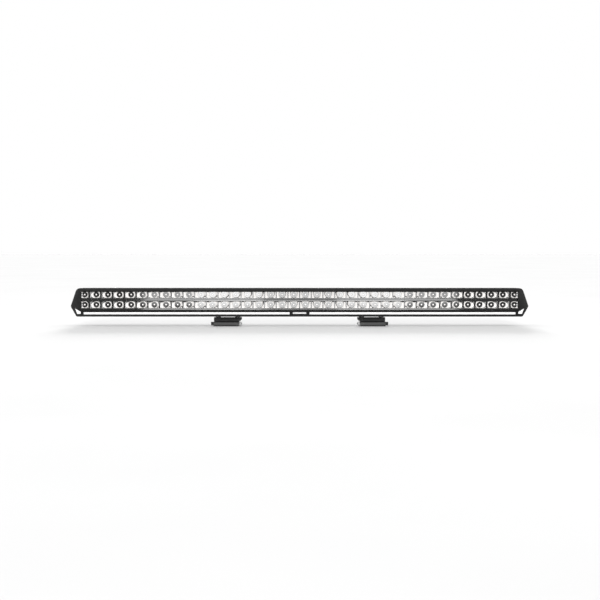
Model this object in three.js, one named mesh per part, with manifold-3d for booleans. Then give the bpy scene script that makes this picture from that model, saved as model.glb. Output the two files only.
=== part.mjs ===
// A double-row LED light bar for a vehicle, with a position-light strip under its reflectors and two
// sliding, tilting feet. Millimetres, +Z up, +X to the bar's left-to-right as seen from the front, and
// the light shines towards -Y. The origin is under the middle of the bar, on the surface it stands on.
import * as THREE from "three";
import { mergeVertices } from "three/addons/utils/BufferGeometryUtils.js";
import Module from "manifold-3d";

const wasm = await Module();
wasm.setup();

// ---------------------------------------------------------------- driving dimensions
const GAP = 0.3; // between pieces that touch
const LENGTH = 1060; // tip to tip
const DEPTH = 74; // bezel face to fin tips
const BAR_HEIGHT = 66; // the light itself, without its feet
const BAR_BOTTOM = 23; // its underside above the floor
const FRONT = -DEPTH / 2;
const BACK = DEPTH / 2;

const COLUMNS = 38; // reflectors in each row
const PITCH = 27.1; // column to column
const ROWS = [50.2, 26.7]; // row centres above the bar's underside
const CELL_HEIGHT = 15.2;
const RIM = 1.3; // wall between two reflectors at their mouths

const WINDOW = { half: 506, low: 14, high: 58 }; // the bezel's main opening
const STRIP = { inner: 23, outer: 500, low: 5.1, high: 10.3 }; // each half of the position light
const BEZEL_THICK = 7.7;
const SKIRT = { thick: 2, back: -14, half: 503 }; // flanges that lap over the housing
const HOUSING_HALF = 511;
const HOUSING = { low: 2.3, high: 63.7, front: FRONT + BEZEL_THICK + GAP };
const POCKET = { low: 13.5, high: 58.8, back: -9 }; // where lens, reflectors and LEDs live
const TUNNEL = { low: 22, high: 50, front: -4, back: 10 }; // where the driver lives
const FIN_ROOT = 14;
const FINS = 8;
const FIN_THICK = 2.4;
const PAD = { x: 420, half: 15, low: 20, high: 52 }; // fins are milled away here, one pad each end
const TIP = { x: LENGTH / 2, z: 24 }; // the outermost point of the six-sided outline
const TOP_CORNER = { x: 515.5, radius: 8 };
const BOTTOM_CORNER = { x: 516.5, radius: 3 };

const MOUNT_X = 167.8; // each foot's middle
const MOUNT_Y = 2;
const SLOT = { mouth: 9, mouthTop: 5, width: 18.6, top: 11.2 };
const BRACKET = { half: 32.2, depth: 26, low: 11.8, top: 19.2, chamfer: 2.8 };
const KEEL = { inner: -26, depth: 16, low: 9.6 }; // the bracket's narrower part, just over the ears
const TONGUE = { half: 14.6, radius: 4.2, neck: 7 };
const FOOT = { inner: -26, outer: 32.2, depth: 54, pad: 1.5, plate: 2.8, earInner: 15, earRadius: 4.6 };
const FOOT_LIP = { thick: 2.6, top: 8.7 }; // upturned along the foot's front and back edges
const PIVOT_Z = 4.7;
const FOOT_SLOT = { x: (FOOT.inner + FOOT.outer) / 2, y: 19.5, length: 14, width: 8.6 };
const PIVOT_BOLT = { radius: 2.5, headRadius: 3.9, head: 6, washerRadius: 4.4, washer: 1.4 };

const ROUND = 16; // sides of a small round piece

// ---------------------------------------------------------------- materials
const finish = (color, roughness, metalness, extra = {}) =>
  new THREE.MeshStandardMaterial({ color, roughness, metalness, ...extra });
const MATERIALS = {
  coated: finish(0x1b1b1c, 0.55, 0.4),
  cast: finish(0x1f1f20, 0.6, 0.4),
  reflector: finish(0xd8d8d8, 0.08, 1.0),
  lens: finish(0xf4f6f8, 0.05, 0.0, { transparent: true, opacity: 0.15 }),
  diffuser: finish(0xf6f6f6, 0.35, 0.0),
  rubber: finish(0x131313, 0.85, 0.0),
  board: finish(0xe9e9e6, 0.5, 0.0),
  driver: finish(0x1d4a2c, 0.55, 0.0),
  steel: finish(0xb9babb, 0.3, 1.0),
  blackSteel: finish(0x161616, 0.45, 0.7),
  nylon: finish(0x161617, 0.6, 0.0),
  badge: finish(0xb4b4b4, 0.4, 0.3),
};

// ---------------------------------------------------------------- solids
function solid(geometry) {
  const plain = geometry.index ? geometry.toNonIndexed() : geometry.clone();
  plain.deleteAttribute("normal");
  plain.deleteAttribute("uv");
  const merged = mergeVertices(plain, 1e-4);
  return new wasm.Manifold(
    new wasm.Mesh({
      numProp: 3,
      vertProperties: merged.attributes.position.array,
      triVerts: new Uint32Array(merged.index.array),
    }),
  );
}

function geometryOf(made) {
  const mesh = made.getMesh();
  const points = new Float32Array(mesh.numVert * 3);
  for (let i = 0; i < mesh.numVert; i++) {
    const from = i * mesh.numProp;
    points.set(mesh.vertProperties.subarray(from, from + 3), i * 3);
  }
  const geometry = new THREE.BufferGeometry()
    .setAttribute("position", new THREE.BufferAttribute(points, 3))
    .setIndex(new THREE.BufferAttribute(new Uint32Array(mesh.triVerts), 1));
  geometry.computeVertexNormals();
  return geometry;
}

const join = (solids) => solids.reduce((a, b) => a.add(b));
const cut = (from, solids) => solids.reduce((a, b) => a.subtract(b), from);

function box(x, y, z) {
  const made = new THREE.BoxGeometry(x[1] - x[0], y[1] - y[0], z[1] - z[0]);
  return solid(made.translate((x[0] + x[1]) / 2, (y[0] + y[1]) / 2, (z[0] + z[1]) / 2));
}

// A round bar along one axis, from `from` to `to`, through the point (a, b) of the other two axes.
function rod(axis, radius, from, to, a, b, sides = ROUND) {
  const made = new THREE.CylinderGeometry(radius, radius, to - from, sides);
  made.rotateY(Math.PI / sides);
  const middle = (from + to) / 2;
  if (axis === "x") return solid(made.rotateZ(-Math.PI / 2).translate(middle, a, b));
  if (axis === "y") return solid(made.translate(a, middle, b));
  return solid(made.rotateX(Math.PI / 2).translate(a, b, middle));
}

// A front-view outline, in X and Z, pushed from y = front back to y = back.
function frontPrism(shape, front, back, curveSegments = 5) {
  const made = new THREE.ExtrudeGeometry(shape, { depth: back - front, bevelEnabled: false, curveSegments });
  return solid(made.rotateX(Math.PI / 2).translate(0, back, 0));
}

// A side-view section, in Y and Z, pushed along X.
function sidePrism(shape, left, right, curveSegments = 8) {
  const made = new THREE.ExtrudeGeometry(shape, { depth: right - left, bevelEnabled: false, curveSegments });
  const turn = new THREE.Matrix4().makeBasis(
    new THREE.Vector3(0, 1, 0),
    new THREE.Vector3(0, 0, 1),
    new THREE.Vector3(1, 0, 0),
  );
  return solid(made.applyMatrix4(turn).translate(left, 0, 0));
}

// A turned piece with its axis along Y; the profile is [radius, y] and closes on itself.
function turned(profile, sides = 20) {
  const points = [...profile, profile[0]].map(([r, y]) => new THREE.Vector2(r, y));
  return solid(new THREE.LatheGeometry(points, sides));
}

// A shape through corner points; a corner with a radius is rounded off.
function outline(corners) {
  const shape = new THREE.Shape();
  corners.forEach(([x, y, radius = 0], i) => {
    const before = corners[(i + corners.length - 1) % corners.length];
    const after = corners[(i + 1) % corners.length];
    const here = new THREE.Vector2(x, y);
    const start = new THREE.Vector2(before[0], before[1]).sub(here).setLength(radius).add(here);
    const end = new THREE.Vector2(after[0], after[1]).sub(here).setLength(radius).add(here);
    if (i === 0) shape.moveTo(start.x, start.y);
    else shape.lineTo(start.x, start.y);
    if (radius > 0) shape.quadraticCurveTo(x, y, end.x, end.y);
  });
  shape.closePath();
  return shape;
}

// ---------------------------------------------------------------- the light's outline
// The six-sided front, `inset` mm inside the real edge.
function frontOutline(inset = 0) {
  const top = BAR_HEIGHT - inset;
  const points = [
    [-(BOTTOM_CORNER.x - inset), inset, BOTTOM_CORNER.radius],
    [BOTTOM_CORNER.x - inset, inset, BOTTOM_CORNER.radius],
    [TIP.x - inset, TIP.z, 2.5],
    [TOP_CORNER.x - inset, top, TOP_CORNER.radius],
    [-(TOP_CORNER.x - inset), top, TOP_CORNER.radius],
    [-(TIP.x - inset), TIP.z, 2.5],
  ];
  return outline(points);
}

// The four-cornered window beside the end of the position light, on the +X side.
const cornerWindow = (inset = 0) =>
  outline([
    [506.3 + inset, 6.2 + inset],
    [515.3 - inset, 6.2 + inset],
    [520.2 - inset * 1.6, 19.4 - inset * 2],
    [506.3 + inset, 11.2 - inset],
  ]);

const mirrorX = (made) => made.mirror([1, 0, 0]);

// ---------------------------------------------------------------- housing, bezel and ends
const BEZEL_SCREWS = [-340, -115, 115, 340];
const BEZEL_SCREW_Y = -18;
const END_SCREWS = [
  [3, 57.2],
  [3, 16.6],
  [-13.5, 8],
];

function housing() {
  const { low, high, front } = HOUSING;
  const section = outline([
    [front, low],
    [22, low],
    [BACK, 13],
    [BACK, 50],
    [24, high],
    [front, high],
  ]);
  const ends = [-HOUSING_HALF, HOUSING_HALF];
  const past = [-HOUSING_HALF - 1, HOUSING_HALF + 1];
  const cuts = [
    box(past, [front - 1, POCKET.back], [POCKET.low, POCKET.high]),
    box(past, [front - 1, -20], [4.3, 12]),
    box(past, [TUNNEL.front, TUNNEL.back], [TUNNEL.low, TUNNEL.high]),
    box(past, [MOUNT_Y - SLOT.mouth / 2, MOUNT_Y + SLOT.mouth / 2], [low - 1, SLOT.mouthTop + 1]),
    box(past, [MOUNT_Y - SLOT.width / 2, MOUNT_Y + SLOT.width / 2], [SLOT.mouthTop, SLOT.top]),
  ];
  const step = (high - low - FIN_THICK) / (FINS - 1);
  for (let i = 0; i < FINS - 1; i++) {
    const z = low + FIN_THICK + i * step;
    cuts.push(box(past, [FIN_ROOT, BACK + 1], [z, z + step - FIN_THICK]));
  }
  for (const side of [-1, 1]) {
    const x = side * PAD.x;
    cuts.push(box([x - PAD.half, x + PAD.half], [FIN_ROOT, BACK + 1], [PAD.low, PAD.high]));
    cuts.push(rod("y", 6, TUNNEL.back - 1, FIN_ROOT + 1, x, 36));
    for (const [y, z] of END_SCREWS) {
      const from = side > 0 ? HOUSING_HALF - 16 : -HOUSING_HALF - 1;
      cuts.push(rod("x", 2.2, from, from + 17, y, z, 10));
    }
  }
  for (const x of BEZEL_SCREWS) {
    cuts.push(rod("z", 1.8, POCKET.high - 1, high + 1, x, BEZEL_SCREW_Y, 10));
    cuts.push(rod("z", 1.8, low - 1, low + 6, x, BEZEL_SCREW_Y, 10));
  }
  return cut(sidePrism(section, ...ends), cuts);
}

function bezel() {
  const back = FRONT + BEZEL_THICK;
  const frame = frontPrism(frontOutline(), FRONT, back);
  const skirts = [
    box([-SKIRT.half, SKIRT.half], [back - 1, SKIRT.back], [BAR_HEIGHT - SKIRT.thick, BAR_HEIGHT]),
    box([-SKIRT.half, SKIRT.half], [back - 1, SKIRT.back], [0, SKIRT.thick]),
  ];
  const through = [FRONT - 1, back + 1];
  const windows = [
    box([-WINDOW.half, WINDOW.half], through, [WINDOW.low, WINDOW.high]),
    box([-STRIP.outer, -STRIP.inner], through, [STRIP.low, STRIP.high]),
    box([STRIP.inner, STRIP.outer], through, [STRIP.low, STRIP.high]),
    frontPrism(cornerWindow(), ...through),
    mirrorX(frontPrism(cornerWindow(), ...through)),
    // the seat behind the window that holds the lens's edge
    box([-509.8, 509.8], [back - 2.6, back + 1], [POCKET.low, POCKET.high]),
    // the badge's recess
    box([-20.5, 20.5], [FRONT - 1, FRONT + 1.5], [4.6, 12]),
  ];
  const holes = BEZEL_SCREWS.flatMap((x) => [
    rod("z", 2.9, BAR_HEIGHT - 1.5, BAR_HEIGHT + 1, x, BEZEL_SCREW_Y, 12),
    rod("z", 1.9, BAR_HEIGHT - 3, BAR_HEIGHT + 1, x, BEZEL_SCREW_Y, 12),
    rod("z", 2.9, -1, 1.5, x, BEZEL_SCREW_Y, 12),
    rod("z", 1.9, -1, 3, x, BEZEL_SCREW_Y, 12),
  ]);
  return cut(join([frame, ...skirts]), [...windows, ...holes]);
}

// The +X end cap: the front's outline carried back, with a chamfered rear and three screw recesses.
function endCap() {
  const start = HOUSING_HALF + 1.2 + 2 * GAP;
  const full = frontPrism(frontOutline(0.8), HOUSING.front, 34);
  const kept = full.intersect(box([start, LENGTH], [-DEPTH, DEPTH], [-1, BAR_HEIGHT + 1]));
  const rear = outline([
    [start - 1, 35],
    [start - 1, 26],
    [LENGTH / 2 + 1, 10],
    [LENGTH / 2 + 1, 35],
  ]);
  const chamfer = solid(new THREE.ExtrudeGeometry(rear, { depth: BAR_HEIGHT, bevelEnabled: false }));
  const recesses = END_SCREWS.flatMap(([y, z]) => [
    rod("x", 3.9, start + 2.6, LENGTH / 2 + 1, y, z),
    rod("x", 2.3, start - 1, LENGTH / 2, y, z, 10),
  ]);
  return cut(kept, [chamfer, ...recesses]);
}

function endGasket() {
  const { low, high, front } = HOUSING;
  const face = outline([
    [front, low],
    [13, low],
    [13, high],
    [front, high],
  ]);
  const start = HOUSING_HALF + GAP;
  const holes = END_SCREWS.map(([y, z]) => rod("x", 2.4, start - 1, start + 3, y, z, 10));
  return cut(sidePrism(face, start, start + 1.2), holes);
}

// A machine screw along +X: its head sits at x = 0 and its shank runs towards -X.
const endScrew = () => join([rod("x", 3.5, 0, 2.6, 0, 0), rod("x", 1.9, -14, 0.5, 0, 0, 10)]);

// A short screw along +Z with its head on top.
const bezelScrew = () => join([rod("z", 2.55, 0, 1.3, 0, 0, 12), rod("z", 1.5, -4, 0.5, 0, 0, 10)]);

// ---------------------------------------------------------------- optics
const LENS = { half: 509.2, low: 13.8, high: 58.5, front: -31.6, back: -29.6 };
const TRAY = { front: -26.4, back: -11.6, low: 14, high: 58.2, half: 508 };
const BOARD = { front: -10.9, back: -9.3, low: 16, high: 57 };

const lens = () => box([-LENS.half, LENS.half], [LENS.front, LENS.back], [LENS.low, LENS.high]);

// A frame of silicone between the lens and the reflectors, round the whole window.
function lensGasket() {
  const y = [LENS.back + GAP, TRAY.front - GAP];
  const ring = box([-LENS.half, LENS.half], y, [LENS.low, LENS.high]);
  const hole = box([-506.5, 506.5], [y[0] - 1, y[1] + 1], [LENS.low + 1.6, LENS.high - 1.6]);
  return cut(ring, [hole]);
}

// The edges of columns first to last in X; the outermost cells are shorter than the rest.
function cellSpan(column) {
  const middle = (column - COLUMNS / 2 + 0.5) * PITCH;
  const limit = TRAY.half - RIM / 2;
  return [
    Math.max(middle - PITCH / 2 + RIM / 2, -limit),
    middle,
    Math.min(middle + PITCH / 2 - RIM / 2, limit),
  ];
}

// A four-sided funnel from the cell's mouth down to the opening round its LED.
function funnel(left, middle, right, z) {
  const made = new THREE.BoxGeometry(1, 1, 1);
  const position = made.attributes.position;
  const throat = 4;
  for (let i = 0; i < position.count; i++) {
    const mouth = position.getY(i) < 0;
    const east = position.getX(i) > 0;
    const up = Math.sign(position.getZ(i));
    const x = mouth ? (east ? right : left) : middle + (east ? throat : -throat);
    const reach = mouth ? CELL_HEIGHT / 2 : throat;
    position.setXYZ(i, x, mouth ? TRAY.front - 0.01 : TRAY.back + 1.5, z + up * reach);
  }
  return solid(made);
}

function reflectorTray(first, last) {
  const left = first === 0 ? -TRAY.half : (first - COLUMNS / 2) * PITCH + GAP / 2;
  const right = last === COLUMNS - 1 ? TRAY.half : (last + 1 - COLUMNS / 2) * PITCH - GAP / 2;
  const block = box([left, right], [TRAY.front, TRAY.back], [TRAY.low, TRAY.high]);
  const pockets = [];
  for (let column = first; column <= last; column++) {
    const [west, middle, east] = cellSpan(column);
    for (const z of ROWS) {
      pockets.push(funnel(west, middle, east, z));
      pockets.push(box([middle - 4, middle + 4], [TRAY.back - 1, TRAY.back + 1.6], [z - 4, z + 4]));
    }
  }
  return cut(block, pockets);
}

// An aluminium-core board with one LED in the middle of each cell.
function ledBoard(first, last) {
  const left = Math.max((first - COLUMNS / 2) * PITCH, -TRAY.half) + 0.5;
  const right = Math.min((last + 1 - COLUMNS / 2) * PITCH, TRAY.half) - 0.5;
  const board = box([left, right], [BOARD.front, BOARD.back], [BOARD.low, BOARD.high]);
  const leds = [];
  for (let column = first; column <= last; column++) {
    const x = cellSpan(column)[1];
    for (const z of ROWS) {
      leds.push(box([x - 1.8, x + 1.8], [BOARD.front - 1.1, BOARD.front + 0.2], [z - 1.8, z + 1.8]));
    }
  }
  return join([board, ...leds]);
}

// A long driver board with its inductors, capacitors and connector.
function driverBoard() {
  const board = box([-390, 390], [-1, 0.6], [24, 48]);
  const items = [];
  for (const x of [-300, -180, -60, 60, 180, 300]) {
    items.push(box([x - 8, x + 8], [0.4, 7.5], [29, 43]));
    items.push(rod("y", 4, 0.4, 8.5, x + 22, 36, 12));
  }
  items.push(box([-388, -374], [0.4, 7], [30, 42]));
  return join([board, ...items]);
}

// ---------------------------------------------------------------- position light
function positionDiffuser() {
  const z = [STRIP.low + GAP, STRIP.high - GAP];
  const face = box([STRIP.inner + GAP, STRIP.outer - GAP], [FRONT + 0.9, -27], z);
  const flange = box([STRIP.inner - 2, STRIP.outer + 2], [-28.6, -26], [z[0] - 0.7, z[1] + 0.9]);
  return join([face, flange]);
}

function positionBoard() {
  const board = box([12, 500], [-22, -20.6], [5, 11.4]);
  const leds = [];
  for (let x = 40; x < 490; x += 36) leds.push(box([x - 2, x + 2], [-23, -21.8], [6.6, 9.8]));
  return join([board, ...leds]);
}

const cornerLens = () => frontPrism(cornerWindow(GAP), FRONT + 0.9, -30);

const badgePlate = () => box([-20.2, 20.2], [FRONT, FRONT + 1.2], [4.9, 11.7]);

// ---------------------------------------------------------------- cable gland and vent
// Both are turned about Y, and stand on the milled pads at the back.
const glandBody = () =>
  turned([
    [4, 8.5],
    [5.6, 8.5],
    [5.6, FIN_ROOT + GAP],
    [10, FIN_ROOT + GAP],
    [10, 19],
    [7.6, 19],
    [7.6, 26],
    [4, 26],
  ]);

const glandSeal = () =>
  turned([
    [4, 26.3],
    [7.4, 26.3],
    [7.4, 30.6],
    [4, 30.6],
  ]);

const glandNut = () =>
  turned([
    [8, 19.5],
    [10, 19.5],
    [10, 30],
    [8, 33.5],
    [4.4, 33.5],
    [4.4, 31],
    [8, 31],
  ]);

const ventPlug = () =>
  turned([
    [0, 9],
    [5.6, 9],
    [5.6, FIN_ROOT + GAP],
    [8, FIN_ROOT + GAP],
    [8, 18.5],
    [6.5, 20],
    [0, 20],
  ]);

// ---------------------------------------------------------------- mounts
// Each is built about its own middle, for the +X side, with its pivot along X.
const CLAMP_SCREW_X = 23;

// The nut plate that slides in the housing's T slot.
function slideBlock() {
  const z = BAR_BOTTOM + SLOT.mouthTop + 0.5;
  const plate = box([-30, 30], [-8.6, 8.6], [z, z + 4.8]);
  const holes = [-1, 1].map((s) => rod("z", 3.3, z - 1, z + 6, s * CLAMP_SCREW_X, 0));
  return cut(plate, holes);
}

// The spacer that holds the bracket a little below the housing: a thin plate with a boss round each screw.
function clampSpacer() {
  const z = [BRACKET.top + GAP, BAR_BOTTOM + 0.3, BAR_BOTTOM + HOUSING.low - GAP];
  const plate = box([-30, 30], [-8, 8], [z[1], z[2]]);
  const bosses = [-1, 1].map((s) => rod("z", 6.5, z[0], z[1] + 0.5, s * CLAMP_SCREW_X, 0));
  const holes = [-1, 1].map((s) => rod("z", 3.3, z[0] - 1, z[2] + 1, s * CLAMP_SCREW_X, 0));
  return cut(join([plate, ...bosses]), holes);
}

// The block clamped under the housing, with the tongue that turns on the pivot bolt.
function tiltBracket() {
  const { half, depth, low, top, chamfer } = BRACKET;
  const face = outline([
    [-half + chamfer, low],
    [half, low],
    [half, top],
    [-half, top],
    [-half, low + chamfer],
  ]);
  const block = frontPrism(face, -depth / 2, depth / 2);
  const keel = box([KEEL.inner, half], [-KEEL.depth / 2, KEEL.depth / 2], [KEEL.low, low + 1]);
  const tongue = new THREE.Shape();
  const bite = Math.asin(TONGUE.neck / 2 / TONGUE.radius);
  tongue.moveTo(TONGUE.neck / 2, low + 1);
  tongue.lineTo(-TONGUE.neck / 2, low + 1);
  tongue.absarc(0, PIVOT_Z, TONGUE.radius, Math.PI / 2 + bite, Math.PI * 2.5 - bite, false);
  tongue.closePath();
  const knuckle = sidePrism(tongue, -TONGUE.half, TONGUE.half);
  const cuts = [rod("x", PIVOT_BOLT.radius + 0.2, -half, half, 0, PIVOT_Z)];
  for (const s of [-1, 1]) {
    cuts.push(rod("z", 3.4, low, top + 1, s * CLAMP_SCREW_X, 0));
    cuts.push(rod("z", 5.6, KEEL.low - 1, low + 5, s * CLAMP_SCREW_X, 0));
  }
  return cut(join([block, keel, knuckle]), cuts);
}

// A clamp screw from below, its head inside the bracket and its tip in the slide block.
function clampScrew() {
  const seat = BRACKET.low + 4.7;
  const head = rod("z", 5.1, seat - 4.2, seat, 0, 0);
  const socket = rod("z", 2.5, seat - 5, seat - 1.8, 0, 0, 6);
  return cut(join([head, rod("z", 3, seat - 0.5, BAR_BOTTOM + 10.2, 0, 0)]), [socket]);
}

// A slotted hole along X, cut through a flat plate.
function slotHole(y, grow = 0) {
  const r = FOOT_SLOT.width / 2 + grow;
  const reach = FOOT_SLOT.length / 2 - FOOT_SLOT.width / 2;
  const flat = r * Math.cos(Math.PI / ROUND);
  const x = [FOOT_SLOT.x - reach, FOOT_SLOT.x + reach];
  const z = [-1, FOOT.pad + FOOT.plate + 1];
  return join([rod("z", r, ...z, x[0], y), rod("z", r, ...z, x[1], y), box(x, [y - flat, y + flat], z)]);
}

// The hole through the foot and its pad that the bracket's tongue turns in.
const knuckleHole = () => box([-FOOT.earInner, FOOT.earInner], [-5.6, 5.6], [-1, FOOT.pad + FOOT.plate + 1]);

// The foot: a slotted plate, turned up at its front and back, with two ears that hold the pivot bolt.
function foot() {
  const { inner, outer, depth, pad, plate, earInner, earRadius } = FOOT;
  const base = box([inner, outer], [-depth / 2, depth / 2], [pad + GAP / 2, pad + plate]);
  const lips = [-1, 1].map((s) => {
    const y = [(s * depth) / 2, s * (depth / 2 - FOOT_LIP.thick)].sort((a, b) => a - b);
    return box([inner, outer], y, [pad + 1, FOOT_LIP.top]);
  });
  const ear = new THREE.Shape();
  ear.moveTo(-earRadius, pad + 1);
  ear.lineTo(earRadius, pad + 1);
  ear.absarc(0, PIVOT_Z, earRadius, 0, Math.PI, false);
  ear.closePath();
  const ears = [sidePrism(ear, inner, -earInner), sidePrism(ear, earInner, outer)];
  const cuts = [
    rod("x", PIVOT_BOLT.radius + 0.2, inner - 1, outer + 1, 0, PIVOT_Z),
    knuckleHole(),
    slotHole(-FOOT_SLOT.y),
    slotHole(FOOT_SLOT.y),
  ];
  return cut(join([base, ...lips, ...ears]), cuts);
}

function footPad() {
  const { inner, outer, depth, pad } = FOOT;
  const sheet = box([inner, outer], [-depth / 2, depth / 2], [0, pad - GAP / 2]);
  return cut(sheet, [knuckleHole(), slotHole(-FOOT_SLOT.y, 0.6), slotHole(FOOT_SLOT.y, 0.6)]);
}

// The pivot bolt, its flanged head on the outer side.
function pivotBolt() {
  const { radius, headRadius, head, washerRadius, washer } = PIVOT_BOLT;
  const outer = FOOT.outer + GAP;
  const body = join([
    rod("x", radius, FOOT.inner - 7, outer + 1, 0, PIVOT_Z),
    rod("x", washerRadius, outer, outer + washer, 0, PIVOT_Z),
    rod("x", headRadius, outer + washer - 0.2, outer + washer + head, 0, PIVOT_Z),
  ]);
  return cut(body, [rod("x", 2, outer + washer + 3, outer + washer + head + 1, 0, PIVOT_Z, 6)]);
}

// The locking nut on the inner side, with its plain collar.
function pivotNut() {
  const from = FOOT.inner - GAP - 5.4;
  const body = join([
    rod("x", 4.6, from + 1.6, FOOT.inner - GAP, 0, PIVOT_Z, 6),
    rod("x", 3.7, from, from + 2, 0, PIVOT_Z),
  ]);
  return cut(body, [rod("x", PIVOT_BOLT.radius + 0.3, from - 1, FOOT.inner + 1, 0, PIVOT_Z)]);
}

// ---------------------------------------------------------------- assembly
const lightBar = new THREE.Group();

function add(group, name, made, material, place = [0, 0, 0]) {
  const mesh = new THREE.Mesh(geometryOf(made), MATERIALS[material]);
  mesh.name = name;
  mesh.position.set(...place);
  group.add(mesh);
  return mesh;
}

const bar = new THREE.Group();
bar.position.z = BAR_BOTTOM;
lightBar.add(bar);

add(bar, "main_housing", housing(), "coated");
add(bar, "front_bezel", bezel(), "coated");
add(bar, "front_lens", lens(), "lens");
add(bar, "lens_gasket", lensGasket(), "rubber");
add(bar, "driver_board", driverBoard(), "driver");
add(bar, "badge_plate", badgePlate(), "badge");
add(bar, "cable_gland_body", glandBody(), "nylon", [-PAD.x, 0, 36]);
add(bar, "cable_gland_seal", glandSeal(), "rubber", [-PAD.x, 0, 36]);
add(bar, "cable_gland_nut", glandNut(), "nylon", [-PAD.x, 0, 36]);
add(bar, "breather_vent", ventPlug(), "nylon", [PAD.x, 0, 36]);

// Four reflector trays and four LED boards, end to end.
const SEGMENTS = [
  [0, 9],
  [10, 18],
  [19, 27],
  [28, 37],
];
SEGMENTS.forEach(([first, last], i) => {
  add(bar, `reflector_tray_${i + 1}`, reflectorTray(first, last), "reflector");
  add(bar, `led_board_${i + 1}`, ledBoard(first, last), "board");
});

BEZEL_SCREWS.forEach((x, i) => {
  const top = [x, BEZEL_SCREW_Y, BAR_HEIGHT - 1.4];
  add(bar, `bezel_screw_top_${i + 1}`, bezelScrew(), "blackSteel", top);
  const under = add(bar, `bezel_screw_bottom_${i + 1}`, bezelScrew(), "blackSteel");
  under.rotation.x = Math.PI;
  under.position.set(x, BEZEL_SCREW_Y, 1.4);
});

// What comes in pairs is made for +X and mirrored for -X.
for (const [side, sign] of [
  ["left", -1],
  ["right", 1],
]) {
  const end = new THREE.Group();
  end.scale.x = sign;
  bar.add(end);
  add(end, `${side}_end_cap`, endCap(), "cast");
  add(end, `${side}_end_gasket`, endGasket(), "rubber");
  add(end, `${side}_corner_lens`, cornerLens(), "diffuser");
  add(end, `${side}_position_diffuser`, positionDiffuser(), "diffuser");
  add(end, `${side}_position_board`, positionBoard(), "board");
  END_SCREWS.forEach(([y, z], i) => {
    const seat = HOUSING_HALF + 1.2 + 2 * GAP + 2.6 + GAP;
    add(end, `${side}_end_screw_${i + 1}`, endScrew(), "blackSteel", [seat, y, z]);
  });

  const mount = new THREE.Group();
  mount.scale.x = sign;
  mount.position.set(sign * MOUNT_X, MOUNT_Y, 0);
  lightBar.add(mount);
  add(mount, `${side}_slide_block`, slideBlock(), "steel");
  add(mount, `${side}_clamp_spacer`, clampSpacer(), "steel");
  add(mount, `${side}_tilt_bracket`, tiltBracket(), "cast");
  add(mount, `${side}_clamp_screw_1`, clampScrew(), "steel", [-CLAMP_SCREW_X, 0, 0]);
  add(mount, `${side}_clamp_screw_2`, clampScrew(), "steel", [CLAMP_SCREW_X, 0, 0]);
  add(mount, `${side}_foot`, foot(), "cast");
  add(mount, `${side}_foot_pad`, footPad(), "rubber");
  add(mount, `${side}_pivot_bolt`, pivotBolt(), "blackSteel");
  add(mount, `${side}_pivot_nut`, pivotNut(), "steel");
}

export default lightBar;
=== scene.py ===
"""The visual model of a long double-row LED light bar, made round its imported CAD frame.

Everything is in metres, with +Z up. The bar's front looks along -Y, and X runs along the bar.
"""
import math

import bmesh
import bpy
from mathutils import Matrix, Vector


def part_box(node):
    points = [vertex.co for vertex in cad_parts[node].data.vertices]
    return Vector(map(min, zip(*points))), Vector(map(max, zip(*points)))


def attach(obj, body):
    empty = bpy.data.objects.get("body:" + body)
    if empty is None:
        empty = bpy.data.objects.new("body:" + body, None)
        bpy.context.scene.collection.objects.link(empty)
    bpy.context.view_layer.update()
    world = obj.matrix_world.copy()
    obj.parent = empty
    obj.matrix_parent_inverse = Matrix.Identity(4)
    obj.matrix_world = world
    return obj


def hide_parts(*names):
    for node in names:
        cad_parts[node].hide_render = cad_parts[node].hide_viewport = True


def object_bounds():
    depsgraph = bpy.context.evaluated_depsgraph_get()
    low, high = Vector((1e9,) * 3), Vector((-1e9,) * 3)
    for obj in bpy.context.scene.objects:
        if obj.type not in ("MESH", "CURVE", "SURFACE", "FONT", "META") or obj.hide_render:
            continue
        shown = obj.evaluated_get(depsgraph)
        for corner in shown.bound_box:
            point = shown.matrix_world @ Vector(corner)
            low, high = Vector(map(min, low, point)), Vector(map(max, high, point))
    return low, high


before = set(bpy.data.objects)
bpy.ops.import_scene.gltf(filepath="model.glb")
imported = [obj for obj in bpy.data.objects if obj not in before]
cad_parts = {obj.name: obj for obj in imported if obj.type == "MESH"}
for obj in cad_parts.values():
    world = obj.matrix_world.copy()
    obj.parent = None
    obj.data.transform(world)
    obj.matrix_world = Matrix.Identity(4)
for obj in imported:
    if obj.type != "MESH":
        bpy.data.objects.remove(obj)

CAD_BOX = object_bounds()
MM = 0.001

# ---------------------------------------------------------------- driving dimensions
COLUMNS = 38
PITCH = 27.1 * MM
BAR_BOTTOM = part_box("front_bezel")[0].z
ROWS = [BAR_BOTTOM + 50.2 * MM, BAR_BOTTOM + 26.7 * MM]
CELL_HALF_HEIGHT = 8.0 * MM
RIM = 1.3 * MM  # wall between two reflectors at their mouths
FOCAL_ACROSS = 3.2 * MM  # focal length of the reflectors' bowls, along the bar
FOCAL_UP = 3.0 * MM  # and upright
LED_HOLE = 1.95 * MM  # radius of the hole in each bowl
DOME = 1.7 * MM  # radius of each LED's dome
# each LED's square package, which stands out in front of the board and sits a little way into it
PACKAGE = {"half": 1.85 * MM, "front": 0.7 * MM, "back": 0.1 * MM}
BADGE_INLAY = {"half_length": 15.5 * MM, "half_height": 1.9 * MM, "front": 0.35 * MM}
SEGMENTS = [(0, 9), (10, 18), (19, 27), (28, 37)]  # columns of each tray and each LED board
SIDES = (("left", -1), ("right", 1))
SMOOTH_ANGLE = 40  # degrees; sharper edges stay sharp


# ---------------------------------------------------------------- materials
BUMP_HEIGHT = 0.1 * MM
WEAR = (0.53, 0.62)  # pointiness at which an edge begins to look worn, and where it is worn through
MOTTLE = (0.3, 0.7)  # the part of a noise's range that holds nearly all of it


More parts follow.
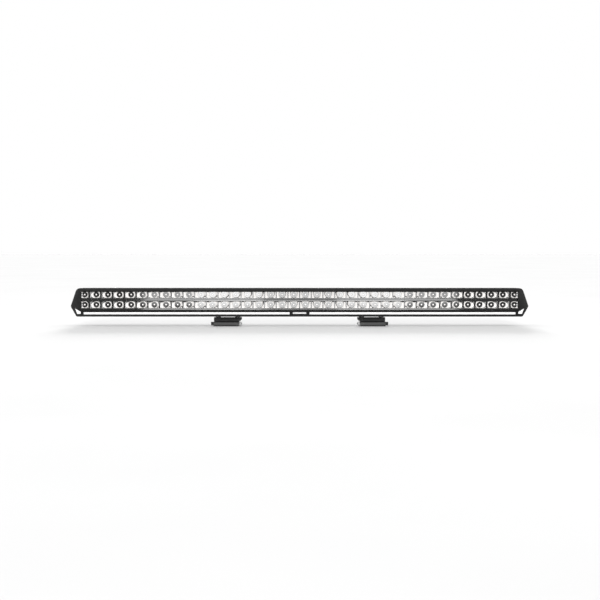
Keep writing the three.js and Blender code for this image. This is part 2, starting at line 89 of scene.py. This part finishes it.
class Nodes:
    """A short way to build one procedural material."""

    def __init__(self, name):
        self.material = bpy.data.materials.new(name)
        self.material.use_nodes = True
        self.tree = self.material.node_tree
        self.shader = self.tree.nodes["Principled BSDF"]
        self.place = self.add("ShaderNodeTexCoord").outputs["Object"]

    def add(self, kind, **values):
        node = self.tree.nodes.new(kind)
        for key, value in values.items():
            setattr(node, key, value)
        return node

    def link(self, output, target):
        self.tree.links.new(output, target)

    def set(self, **values):
        for key, value in values.items():
            self.shader.inputs[key.replace("_", " ")].default_value = value
        return self

    def stretched(self, stretch):
        mapping = self.add("ShaderNodeMapping")
        mapping.inputs["Scale"].default_value = stretch
        self.link(self.place, mapping.inputs["Vector"])
        return mapping.outputs["Vector"]

    def noise(self, scale, detail=3.0, stretch=(1, 1, 1)):
        node = self.add("ShaderNodeTexNoise")
        node.inputs["Scale"].default_value = scale
        node.inputs["Detail"].default_value = detail
        self.link(self.stretched(stretch), node.inputs["Vector"])
        return node.outputs["Fac"]

    def mottled(self, factor, dark, light):
        """A colour between two, by a noise."""
        node = self.add("ShaderNodeValToRGB")
        for element, position, color in zip(node.color_ramp.elements, MOTTLE, (dark, light)):
            element.position = position
            element.color = (*color, 1.0)
        self.link(factor, node.inputs["Fac"])
        return node.outputs["Color"]

    def range(self, factor, low, high):
        """A number between two, by a noise."""
        node = self.add("ShaderNodeMapRange")
        node.inputs["From Min"].default_value = MOTTLE[0]
        node.inputs["From Max"].default_value = MOTTLE[1]
        node.inputs["To Min"].default_value = low
        node.inputs["To Max"].default_value = high
        self.link(factor, node.inputs["Value"])
        return node.outputs["Result"]

    def bump(self, height, strength):
        node = self.add("ShaderNodeBump")
        node.inputs["Strength"].default_value = strength
        node.inputs["Distance"].default_value = BUMP_HEIGHT
        self.link(height, node.inputs["Height"])
        self.link(node.outputs["Normal"], self.shader.inputs["Normal"])

    def worn_edges(self, color, worn):
        """Mixes a paler colour in along sharp convex edges."""
        edges = self.add("ShaderNodeMapRange")
        edges.inputs["From Min"].default_value = WEAR[0]
        edges.inputs["From Max"].default_value = WEAR[1]
        self.link(self.add("ShaderNodeNewGeometry").outputs["Pointiness"], edges.inputs["Value"])
        mix = self.add("ShaderNodeMix", data_type="RGBA")
        self.link(edges.outputs["Result"], mix.inputs["Factor"])
        self.link(color, mix.inputs["A"])
        mix.inputs["B"].default_value = (*worn, 1.0)
        return mix.outputs["Result"]


def surface(
    name, dark, light, scale, roughness, grain, grain_bump, stretch=(1, 1, 1), worn=None, **values
):
    """A mottled surface: colour between dark and light, roughness in a range, and a fine grain."""
    nodes = Nodes(name)
    mottle = nodes.noise(scale, 4.0, stretch)
    color = nodes.mottled(mottle, dark, light)
    if worn:
        color = nodes.worn_edges(color, worn)
    nodes.link(color, nodes.shader.inputs["Base Color"])
    nodes.link(nodes.range(mottle, *roughness), nodes.shader.inputs["Roughness"])
    nodes.bump(nodes.noise(grain, 2.0, stretch), grain_bump)
    return nodes.set(**values).material


def grey(value, warm=0.0):
    """A grey, with a little more red and less blue where it is warm."""
    return (value + warm, value, value - warm)


MATERIALS = {
    "coated": surface(
        "powder_coat", grey(0.011), grey(0.018), 90, (0.42, 0.56), 1600, 0.35, worn=grey(0.05),
        Specular_IOR_Level=0.45,
    ),
    "cast": surface(
        "cast_coat", grey(0.014), grey(0.024), 140, (0.46, 0.62), 1100, 0.5, worn=grey(0.06),
        Specular_IOR_Level=0.45,
    ),
    # the foot's coat is a paler copy of the cast coat: the extra lightness is painted light, standing in
    # for the light its front lip catches from the front and the floor
    "foot": surface(
        "foot_coat_painted_lighter", grey(0.02), grey(0.03), 140, (0.42, 0.55), 1100, 0.4, worn=grey(0.1),
        Specular_IOR_Level=0.5,
    ),
    "chrome": surface(
        "vacuum_chrome", grey(0.86), grey(0.93), 60, (0.03, 0.07), 220, 0.02, Metallic=1.0,
    ),
    "steel": surface(
        "zinc_steel", grey(0.6), grey(0.78), 300, (0.28, 0.42), 900, 0.15, worn=grey(0.85), Metallic=0.6,
    ),
    "zinc": surface(
        "bright_zinc", grey(0.74), grey(0.84), 300, (0.35, 0.5), 900, 0.1, worn=grey(0.9), Metallic=0.2,
    ),
    "black_steel": surface(
        "black_oxide_steel", grey(0.045), grey(0.07), 400, (0.32, 0.45), 1500, 0.2, worn=grey(0.16),
        Metallic=0.3,
    ),
    "rubber": surface(
        "silicone_rubber", grey(0.009), grey(0.018), 200, (0.7, 0.85), 1300, 0.4, Specular_IOR_Level=0.3,
    ),
    "nylon": surface(
        "black_nylon", grey(0.012), grey(0.02), 250, (0.38, 0.5), 2000, 0.3, Specular_IOR_Level=0.45,
    ),
    "board": surface(
        "black_solder_mask", grey(0.02), grey(0.03), 500, (0.3, 0.4), 2500, 0.1, Specular_IOR_Level=0.4,
    ),
    "driver": surface(
        "green_solder_mask", (0.01, 0.05, 0.02), (0.02, 0.09, 0.035), 500, (0.28, 0.4), 2500, 0.1,
    ),
    "ceramic": surface(
        "led_substrate", grey(0.16), grey(0.22), 900, (0.4, 0.5), 3000, 0.1, Specular_IOR_Level=0.4,
    ),
    "badge": surface(
        "badge_inlay", grey(0.82), grey(0.9), 400, (0.3, 0.4), 900, 0.05, stretch=(0.1, 1, 1),
        Metallic=0.15,
    ),
}


def glowing(name, scale, dark, light):
    """A mottled colour that is both the surface's own and its light's."""
    nodes = Nodes(name)
    color = nodes.mottled(nodes.noise(scale), dark, light)
    nodes.link(color, nodes.shader.inputs["Base Color"])
    nodes.link(color, nodes.shader.inputs["Emission Color"])
    return nodes


# The LED domes' emission is a painted glow: it stands in for their bright white look, not for a
# switched-on LED.
def phosphor():
    nodes = glowing("led_phosphor_painted_glow", 2500, grey(0.8, 0.02), grey(0.92, 0.02))
    return nodes.set(Roughness=0.25, Emission_Strength=1.15).material


def opal(name, strength):
    """White diffusing acrylic with fine ribs across it, with a soft painted glow: its emission stands in
    for light, as no lamp behind it is lit.
    """
    nodes = glowing(name, 120, grey(0.86), grey(0.92))
    ribs = nodes.add("ShaderNodeTexWave", bands_direction="X")
    ribs.inputs["Scale"].default_value = 160
    nodes.link(nodes.place, ribs.inputs["Vector"])
    nodes.bump(ribs.outputs["Fac"], 0.15)
    return nodes.set(Roughness=0.3, Emission_Strength=strength).material


def clear_lens():
    nodes = Nodes("clear_polycarbonate")
    color = nodes.mottled(nodes.noise(30), grey(0.04), grey(0.05))
    nodes.link(color, nodes.shader.inputs["Base Color"])
    nodes.link(nodes.range(nodes.noise(40), 0.02, 0.05), nodes.shader.inputs["Roughness"])
    return nodes.set(Alpha=0.07, IOR=1.58).material


MATERIALS["phosphor"] = phosphor()
# the position diffuser and the corner lens glow at these strengths as painted light; the corner lens has
# no LED behind it
MATERIALS["diffuser"] = opal("opal_acrylic_painted_glow", 0.3)
MATERIALS["corner"] = opal("frosted_corner_acrylic_painted_glow", 0.12)
MATERIALS["lens"] = clear_lens()


# ---------------------------------------------------------------- pieces
def piece(name, bm, materials, body="bar", stands_for=(), smooth=SMOOTH_ANGLE):
    """Turns a bmesh into a piece of the object that rides on a body."""
    mesh = bpy.data.meshes.new(name)
    bmesh.ops.recalc_face_normals(bm, faces=bm.faces)
    bm.to_mesh(mesh)
    bm.free()
    made = bpy.data.objects.new(name, mesh)
    bpy.context.scene.collection.objects.link(made)
    for material in materials if isinstance(materials, list) else [materials]:
        mesh.materials.append(MATERIALS[material])
    mesh.shade_smooth()
    mesh.set_sharp_from_angle(angle=math.radians(smooth))
    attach(made, body)
    if stands_for:
        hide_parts(*stands_for)


def add_box(bm, low, high, bevel, material=0, segments=2):
    """Adds a box with rounded edges."""
    verts = bmesh.ops.create_cube(bm, size=1.0)["verts"]
    bmesh.ops.scale(bm, vec=Vector(high) - Vector(low), verts=verts)
    bmesh.ops.translate(bm, vec=(Vector(high) + Vector(low)) / 2, verts=verts)
    for vert in verts:
        for face in vert.link_faces:
            face.material_index = material
    edges = list(dict.fromkeys(edge for vert in verts for edge in vert.link_edges))
    rounded = bmesh.ops.bevel(
        bm, geom=edges, offset=bevel, segments=segments, profile=0.5, affect="EDGES", clamp_overlap=True
    )
    for face in rounded["faces"]:
        face.material_index = material


AXES = {
    "x": Matrix(((0, 0, 1), (1, 0, 0), (0, 1, 0))),
    "y": Matrix(((0, 1, 0), (0, 0, 1), (1, 0, 0))),
    "z": Matrix(((1, 0, 0), (0, 1, 0), (0, 0, 1))),
}


def hexagon(angle):
    """The radius of a hexagon in that direction, over the radius of its corners."""
    return math.cos(math.pi / 6) / math.cos((angle + math.pi / 6) % (math.pi / 3) - math.pi / 6)


def add_turned(bm, profile, axis, centre, sides=32, material=0):
    """Adds a turned solid from rings of (radius, height along the axis, outline).

    An outline is a function of the angle that scales the ring's radius, and a ring without one is round.
    """
    turn = AXES[axis]
    rings = []
    for radius, height, *outline in profile:
        if radius < 1e-7:
            rings.append([bm.verts.new(turn @ Vector((0, 0, height)) + Vector(centre))])
            continue
        ring = []
        for i in range(sides):
            angle = 2 * math.pi * i / sides
            r = radius * (outline[0](angle) if outline else 1.0)
            point = turn @ Vector((r * math.cos(angle), r * math.sin(angle), height))
            ring.append(bm.verts.new(point + Vector(centre)))
        rings.append(ring)
    for lower, upper in zip(rings, rings[1:]):
        for i in range(sides):
            j = (i + 1) % sides
            below = [lower[i % len(lower)], lower[j % len(lower)]]
            above = [upper[j % len(upper)], upper[i % len(upper)]]
            corners = list(dict.fromkeys(below + above))  # where a ring is a point, this leaves a triangle
            if len(corners) > 2:
                bm.faces.new(corners).material_index = material


# ---------------------------------------------------------------- reflectors
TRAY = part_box("reflector_tray_1")
TRAY_FRONT, TRAY_BACK = TRAY[0].y, TRAY[1].y
TRAY_LOW, TRAY_HIGH = TRAY[0].z, TRAY[1].z
TRAY_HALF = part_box("reflector_tray_4")[1].x
BOARD_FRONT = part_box("led_board_1")[0].y + 1.1 * MM
VERTEX = BOARD_FRONT - 0.2 * MM + FOCAL_ACROSS  # where the bowl would end if it were whole
BOTTOM = TRAY_BACK + 0.1 * MM  # each bowl stops here, at a flat ring round its LED
RINGS = 9  # of vertices up each bowl
STEPS = (8, 12)  # vertices along a mouth's long sides and short sides
# points up a rail: how far up it, and how far it stands out, both as shares of its height
RAIL = [(0.0, 0.0), (0.08, 0.09), (0.2, 0.105), (0.8, 0.052), (1.0, 0.0)]


def cell_edges(column):
    """Left edge, middle and right edge of a column; the outermost cells are cut short."""
    middle = (column - COLUMNS / 2 + 0.5) * PITCH
    limit = TRAY_HALF - RIM / 2
    return max(middle - PITCH / 2 + RIM / 2, -limit), middle, min(middle + PITCH / 2 - RIM / 2, limit)


def bowl(x, z):
    """How far back the bowl lies at x, z from its middle."""
    y = VERTEX - x * x / (4 * FOCAL_ACROSS) - z * z / (4 * FOCAL_UP)
    return min(max(y, TRAY_FRONT), BOTTOM)


def cell_angles(west, east, up):
    """Directions from the LED round the mouth: its four corners, and even steps between them."""
    corners = [(east, up), (-west, up), (-west, -up), (east, -up)]
    turns = [math.atan2(z, x) % (2 * math.pi) for x, z in corners]
    angles = []
    for i, start in enumerate(turns):
        end = turns[(i + 1) % 4] + (2 * math.pi if i == 3 else 0)
        steps = STEPS[i % 2]
        angles += [start + (end - start) * k / steps for k in range(steps)]
    return angles


def reach(angle, west, east, up):
    """How far the mouth's edge is from the LED in that direction."""
    c, s = math.cos(angle), math.sin(angle)
    sideways = (east if c > 0 else west) / max(abs(c), 1e-9)
    return min(sideways, up / max(abs(s), 1e-9))


def add_reflector(bm, left, middle, right, row):
    """One chrome bowl with a rectangular mouth: a paraboloid, and flat walls up to the mouth."""
    west, east = middle - left, right - middle
    rings = [[] for _ in range(RINGS + 2)]
    for angle in cell_angles(west, east, CELL_HALF_HEIGHT):
        c, s = math.cos(angle), math.sin(angle)
        edge = reach(angle, west, east, CELL_HALF_HEIGHT)
        bend = 1 / math.sqrt((c * c / FOCAL_ACROSS + s * s / FOCAL_UP) / (4 * (VERTEX - BOTTOM)))
        bend = min(bend, 0.95 * edge)  # the radius where the bowl leaves the flat ring
        radii = [LED_HOLE] + [bend + (edge - bend) * k / (RINGS - 1) for k in range(RINGS)]
        for ring, radius in zip(rings, radii):
            x, z = radius * c, radius * s
            ring.append(bm.verts.new((middle + x, bowl(x, z), row + z)))
        rings[-1].append(bm.verts.new((middle + edge * c, TRAY_FRONT, row + edge * s)))
    count = len(rings[0])
    for inner, outer in zip(rings, rings[1:]):
        for i in range(count):
            j = (i + 1) % count
            bm.faces.new((inner[i], inner[j], outer[j], outer[i]))


def add_front(bm, left, right, first, last):
    """The chrome face between the mouths: the rails above, between and below, and the upright rims."""
    bands = [
        (ROWS[0] + CELL_HALF_HEIGHT, TRAY_HIGH),
        (ROWS[1] + CELL_HALF_HEIGHT, ROWS[0] - CELL_HALF_HEIGHT),
        (TRAY_LOW, ROWS[1] - CELL_HALF_HEIGHT),
    ]
    for low, high in bands:
        lines = []
        for t, bulge in RAIL:
            y = TRAY_FRONT - bulge * (high - low)
            z = low + (high - low) * t
            lines.append((bm.verts.new((left, y, z)), bm.verts.new((right, y, z))))
        for (a, b), (c, d) in zip(lines, lines[1:]):
            bm.faces.new((a, b, d, c))
    edges = [left]
    for column in range(first, last + 1):
        cell = cell_edges(column)
        edges += [cell[0], cell[2]]
    edges.append(right)
    for row in ROWS:
        low, high = row - CELL_HALF_HEIGHT, row + CELL_HALF_HEIGHT
        for a, b in zip(edges[::2], edges[1::2]):
            corners = [(a, low), (b, low), (b, high), (a, high)]
            bm.faces.new([bm.verts.new((x, TRAY_FRONT, z)) for x, z in corners])


def reflector_tray(number, first, last):
    """One moulded tray: its bowls, its front and its outer walls."""
    node = f"reflector_tray_{number}"
    low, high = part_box(node)
    bm = bmesh.new()
    for column in range(first, last + 1):
        for row in ROWS:
            add_reflector(bm, *cell_edges(column), row)
    add_front(bm, low.x, high.x, first, last)
    for z in (low.z, high.z):
        corners = [(low.x, low.y, z), (high.x, low.y, z), (high.x, high.y, z), (low.x, high.y, z)]
        bm.faces.new([bm.verts.new(corner) for corner in corners])
    for x in (low.x, high.x):
        corners = [(x, low.y, low.z), (x, high.y, low.z), (x, high.y, high.z), (x, low.y, high.z)]
        bm.faces.new([bm.verts.new(corner) for corner in corners])
    bmesh.ops.remove_doubles(bm, verts=bm.verts, dist=1e-6)
    piece(f"reflector_shell_{number}", bm, "chrome", stands_for=[node])


def led_board(number, first, last):
    """A black aluminium-core board with an LED package and its dome, carrying a painted glow, under each
    reflector.
    """
    node = f"led_board_{number}"
    low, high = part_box(node)
    bm = bmesh.new()
    add_box(bm, (low.x, BOARD_FRONT, low.z), high, 0.3 * MM)
    half = PACKAGE["half"]
    front, back = BOARD_FRONT - PACKAGE["front"], BOARD_FRONT + PACKAGE["back"]
    climb = [math.pi / 2 * i / 6 for i in range(6)]
    dome = [(DOME * math.cos(angle), -DOME * math.sin(angle)) for angle in climb] + [(0, -DOME)]
    for column in range(first, last + 1):
        x = cell_edges(column)[1]
        for row in ROWS:
            add_box(
                bm, (x - half, front, row - half), (x + half, back, row + half), 0.1 * MM,
                material=1, segments=1,
            )
            add_turned(bm, dome, "y", (x, front + 0.01 * MM, row), sides=16, material=2)
    piece(
        f"led_board_shell_{number}", bm, ["board", "ceramic", "phosphor"], stands_for=[node]
    )


for number, (first, last) in enumerate(SEGMENTS, 1):
    reflector_tray(number, first, last)
    led_board(number, first, last)


# ---------------------------------------------------------------- badge
def badge_inlay():
    """A plain pale bar on the badge's black plate."""
    low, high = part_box("badge_plate")
    middle = (low.z + high.z) / 2
    length, height = BADGE_INLAY["half_length"], BADGE_INLAY["half_height"]
    bm = bmesh.new()
    add_box(
        bm, (-length, low.y - BADGE_INLAY["front"], middle - height),
        (length, low.y + 0.1 * MM, middle + height), 0.3 * MM, segments=3,
    )
    piece("badge_inlay", bm, "badge")


badge_inlay()


# ---------------------------------------------------------------- fasteners
def along(node, axis, towards):
    """The middle of a node in the other two directions, its end on one side, and its length."""
    low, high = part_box(node)
    i = "xyz".index(axis)
    centre = (low + high) / 2
    centre[i] = high[i] if towards > 0 else low[i]
    return centre, high[i] - low[i]


def turned_piece(node, axis, towards, profile, material, body, sides=36):
    """A turned piece in place of a node. Its heights run inwards from the node's outer end."""
    centre, _ = along(node, axis, towards)
    bm = bmesh.new()
    mapped = [(radius * MM, -towards * height * MM, *outline) for radius, height, *outline in profile]
    add_turned(bm, mapped, axis, centre, sides)
    bmesh.ops.remove_doubles(bm, verts=bm.verts, dist=1e-7)
    piece(f"{node}_turned", bm, material, body, stands_for=[node], smooth=35)


THREAD_DEPTH = 0.45  # mm, as are all numbers in the profiles below


def thread(radius, start, end, pitch=0.8):
    """The V-shaped ridges of a thread, as rings."""
    count = max(2, round((end - start) / pitch * 2))
    heights = [start + (end - start) * k / count for k in range(count + 1)]
    return [(radius - THREAD_DEPTH * (k % 2), height) for k, height in enumerate(heights)]


def socket_head(head, under, shank, length, key, flange=None):
    """A socket-head screw: hexagonal socket, chamfered head, an optional flange, and a threaded shank.

    Head, shank and key are radii, and under is how far down the head's underside is.
    """
    depth = under * 0.55
    profile = [
        (0, depth + key * 0.3), (key * 0.9, depth, hexagon), (key, depth - 0.1, hexagon),
        (key, 0.25, hexagon), (key * 1.12, 0), (head - 0.45, 0), (head - 0.12, 0.12), (head, 0.45),
    ]
    if flange:
        radius, thick = flange
        top = under - thick
        profile += [
            (head, top - 0.4), (head + 0.15, top), (radius - 0.15, top), (radius, top + 0.2),
            (radius, under),
        ]
    else:
        profile += [(head, under - 0.15), (head - 0.15, under)]
    profile += [(shank, under), (shank, under + (length - under) * 0.4)]
    profile += thread(shank, under + (length - under) * 0.42, length - 0.6)
    return profile + [(shank * 0.7, length), (0, length)]


def pivot_nut():
    """A hexagon nut with a round flange, its corners chamfered."""
    bore, end = 2.75, 5.4
    return [
        (bore, 0), (3.3, 0), (3.7, 0.4), (3.7, 1.7), (4.1, 1.8, hexagon), (4.6, 2.3, hexagon),
        (4.6, end - 0.5, hexagon), (4.1, end, hexagon), (bore, end), (bore, 0),
    ]


def screw(node, axis, towards, material, body, head, under, shank, key, flange=None, sides=36):
    """A socket-head screw in place of a node, as long as the node."""
    length = along(node, axis, towards)[1] / MM
    profile = socket_head(head, under, shank, length, key, flange)
    turned_piece(node, axis, towards, profile, material, body, sides)


def fasteners():
    """Every screw, bolt and nut that shows, in place of its plain CAD node."""
    for side, sign in SIDES:
        mount, foot = f"{side}_mount", f"{side}_foot_assembly"
        for i in (1, 2, 3):
            screw(f"{side}_end_screw_{i}", "x", sign, "black_steel", "bar", 3.5, 2.6, 1.9, 1.6)
        for i in (1, 2):
            screw(f"{side}_clamp_screw_{i}", "z", -1, "steel", mount, 5.1, 4.2, 3.0, 2.5)
        screw(f"{side}_pivot_bolt", "x", sign, "black_steel", foot, 3.9, 7.4, 2.5, 2.0, flange=(4.4, 1.4))
        turned_piece(f"{side}_pivot_nut", "x", -sign, pivot_nut(), "zinc", foot)
    for where, towards in (("top", 1), ("bottom", -1)):
        for i in (1, 2, 3, 4):
            node = f"bezel_screw_{where}_{i}"
            screw(node, "z", towards, "black_steel", "bar", 2.55, 1.3, 1.5, 1.1, sides=24)


fasteners()


# ---------------------------------------------------------------- cable gland and vent
def grips(angle):
    """A round outline with twelve shallow grip ribs."""
    return 1.0 - 0.05 * (0.5 + 0.5 * math.cos(12 * angle)) ** 2


def gland():
    """The gland's three pieces and the vent; heights run forwards from each piece's rear end."""
    body = [(4, 0), (7.6, 0), (7.6, 1.0)] + thread(7.6, 1.2, 6.6, 1.2)
    body += [
        (7.6, 7.0), (9.4, 7.0, hexagon), (10.4, 7.5, hexagon), (10.4, 11.2, hexagon),
        (10.0, 11.7, hexagon), (5.6, 11.7), (5.6, 17.5), (4, 17.5), (4, 0),
    ]
    nut = [
        (4.6, 0), (6.2, 0.1), (7.6, 1.0), (8.9, 2.6), (9.5, 3.6), (10, 4.0, grips), (10, 12.6, grips),
        (10, 13.2), (9.7, 14), (8, 14), (8, 2.6), (4.6, 2.4), (4.6, 0),
    ]
    seal = [(4, 0), (4.6, 0), (7.2, 0.2), (7.4, 0.4), (7.4, 4.1), (7.2, 4.3), (4, 4.3), (4, 0)]
    vent = [
        (0, 0.4), (2.2, 0.4), (2.6, 0), (5.2, 0), (6.3, 0.5), (7.4, 1.6), (8, 2.2, grips),
        (8, 5.4, grips), (7.8, 5.7), (5.6, 5.7), (5.6, 11), (0, 11),
    ]
    for node, profile, material, sides in (
        ("cable_gland_body", body, "nylon", 48),
        ("cable_gland_nut", nut, "nylon", 96),
        ("cable_gland_seal", seal, "rubber", 32),
        ("breather_vent", vent, "nylon", 96),
    ):
        turned_piece(node, "y", 1, profile, material, "bar", sides)


gland()


# ---------------------------------------------------------------- shown CAD nodes
FINISHES = {
    "main_housing": "coated", "front_bezel": "coated", "front_lens": "lens", "lens_gasket": "rubber",
    "driver_board": "driver", "badge_plate": "nylon", "end_cap": "cast", "end_gasket": "rubber",
    "corner_lens": "corner", "position_diffuser": "diffuser", "position_board": "board",
    "slide_block": "steel", "clamp_spacer": "steel", "tilt_bracket": "cast", "foot": "foot",
    "foot_pad": "rubber",
}
BEVELS = {  # mm
    "main_housing": 0.5, "front_bezel": 0.7, "end_cap": 1.2, "tilt_bracket": 0.9, "foot": 0.6,
    "foot_pad": 0.2, "clamp_spacer": 0.4, "position_diffuser": 0.5, "corner_lens": 0.5,
    "slide_block": 0.4,
}


def best_key(node, table):
    """The longest key that the node's name contains."""
    keys = [key for key in table if key in node]
    return max(keys, key=len) if keys else None


for name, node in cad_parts.items():
    key = best_key(name, FINISHES)
    if key:
        node.data.materials.clear()
        node.data.materials.append(MATERIALS[FINISHES[key]])
    key = best_key(name, BEVELS)
    if key:
        bevel = node.modifiers.new("edges", "BEVEL")
        bevel.width = BEVELS[key] * MM
        bevel.segments = 3
        bevel.limit_method = "ANGLE"
        bevel.angle_limit = math.radians(35)
        bevel.harden_normals = True


# ---------------------------------------------------------------- studio
def paper():
    nodes = glowing("studio_floor", 2, grey(0.62), grey(0.64))
    return nodes.set(Roughness=0.8, Specular_IOR_Level=0.0, Emission_Strength=0.13).material


def floor(size):
    """A plain pale floor, which shiny surfaces don't see."""
    bm = bmesh.new()
    bmesh.ops.create_grid(bm, x_segments=1, y_segments=1, size=size / 2)
    mesh = bpy.data.meshes.new("floor")
    bm.to_mesh(mesh)
    bm.free()
    made = bpy.data.objects.new("floor", mesh)
    mesh.materials.append(paper())
    bpy.context.scene.collection.objects.link(made)
    made.visible_glossy = False


def light(data, place, turn):
    made = bpy.data.objects.new(data.name, data)
    made.location = place
    made.rotation_euler = turn
    bpy.context.scene.collection.objects.link(made)
    return made


def area_light(name, power, size, place, aim, diffuse=True):
    """A soft card of light, unseen by the camera. Without diffuse, only shiny surfaces show it."""
    data = bpy.data.lights.new(name, "AREA")
    data.shape = "RECTANGLE"
    data.size, data.size_y = size
    data.energy = power
    made = light(data, place, (Vector(aim) - Vector(place)).to_track_quat("-Z", "Y").to_euler())
    made.visible_camera = False
    made.visible_diffuse = diffuse


def sun_light(name, energy, turn):
    """A broad low sun, turned that many degrees from straight down, which shiny surfaces don't show."""
    data = bpy.data.lights.new(name, "SUN")
    data.energy = energy
    data.angle = math.radians(20)
    light(data, (0, 0, 0), (math.radians(turn), 0, 0)).visible_glossy = False


def studio_world(behind, front):
    """White behind the object and dark in front of it; the camera itself sees white all round."""
    world = bpy.data.worlds.new("studio")
    world.use_nodes = True
    tree = world.node_tree

    def add(kind, **values):
        node = tree.nodes.new(kind)
        for key, value in values.items():
            node.inputs[key.replace("_", " ")].default_value = value
        return node

    def link(output, target):
        tree.links.new(output, target)

    axes = add("ShaderNodeSeparateXYZ")
    link(add("ShaderNodeTexCoord").outputs["Generated"], axes.inputs["Vector"])
    # backwards and upwards together: 0 straight ahead and low, over 0.5 behind or overhead
    tilted = add("ShaderNodeMath")
    tilted.operation = "MULTIPLY_ADD"
    tilted.inputs[1].default_value = 1.3
    link(axes.outputs["Z"], tilted.inputs[0])
    link(axes.outputs["Y"], tilted.inputs[2])
    depth = add("ShaderNodeMapRange", From_Min=-0.1, From_Max=0.3, To_Min=front, To_Max=behind)
    link(tilted.outputs["Value"], depth.inputs["Value"])
    sky = tree.nodes["Background"]
    sky.inputs["Strength"].default_value = 1.0
    link(depth.outputs["Result"], sky.inputs["Color"])
    white = add("ShaderNodeBackground", Color=(1, 1, 1, 1))
    mix = add("ShaderNodeMixShader")
    link(add("ShaderNodeLightPath").outputs["Is Camera Ray"], mix.inputs["Fac"])
    link(sky.outputs["Background"], mix.inputs[1])
    link(white.outputs["Background"], mix.inputs[2])
    link(mix.outputs["Shader"], tree.nodes["World Output"].inputs["Surface"])
    bpy.context.scene.world = world


floor(40)
studio_world(behind=0.95, front=0.04)
area_light("overhead", 4, (2.4, 1.6), (0, 0.1, 1.9), (0, 0, 0))
sun_light("sun_front", 2.2, 74)
sun_light("sun_back", 4.6, -74)
# cards in front: the high ones show in the rails, and the low one in the flat rings round the LEDs
for x in (-0.45, 0.45):
    area_light("front_high", 1.0, (0.56, 1.2), (x, -3.05, 0.5), (0, 0, 0.05), diffuse=False)
area_light("front_high_centre", 0.19, (0.34, 0.9), (0, -3.1, 0.65), (0, 0, 0.05), diffuse=False)
area_light("front_low", 0.79, (1.0, 0.3), (0, -3.1, -0.06), (0, -1, -0.06), diffuse=False)


# ---------------------------------------------------------------- camera
DISTANCE = 3.0
FRAME_WIDTH = 1.3886  # metres across the picture at the bezel
ELEVATION = math.radians(2.5)
AIM = Vector((0.001, CAD_BOX[0].y, 61.6 * MM))  # the point at the middle of the picture

camera = bpy.data.cameras.new("camera")
camera.sensor_width = 36
camera.lens = camera.sensor_width * DISTANCE / FRAME_WIDTH
view = bpy.data.objects.new("camera", camera)
view.location = AIM + DISTANCE * Vector((0, -math.cos(ELEVATION), math.sin(ELEVATION)))
view.rotation_euler = (AIM - view.location).to_track_quat("-Z", "Y").to_euler()
bpy.context.scene.collection.objects.link(view)
bpy.context.scene.camera = view
bpy.context.scene.view_settings.view_transform = "Standard"
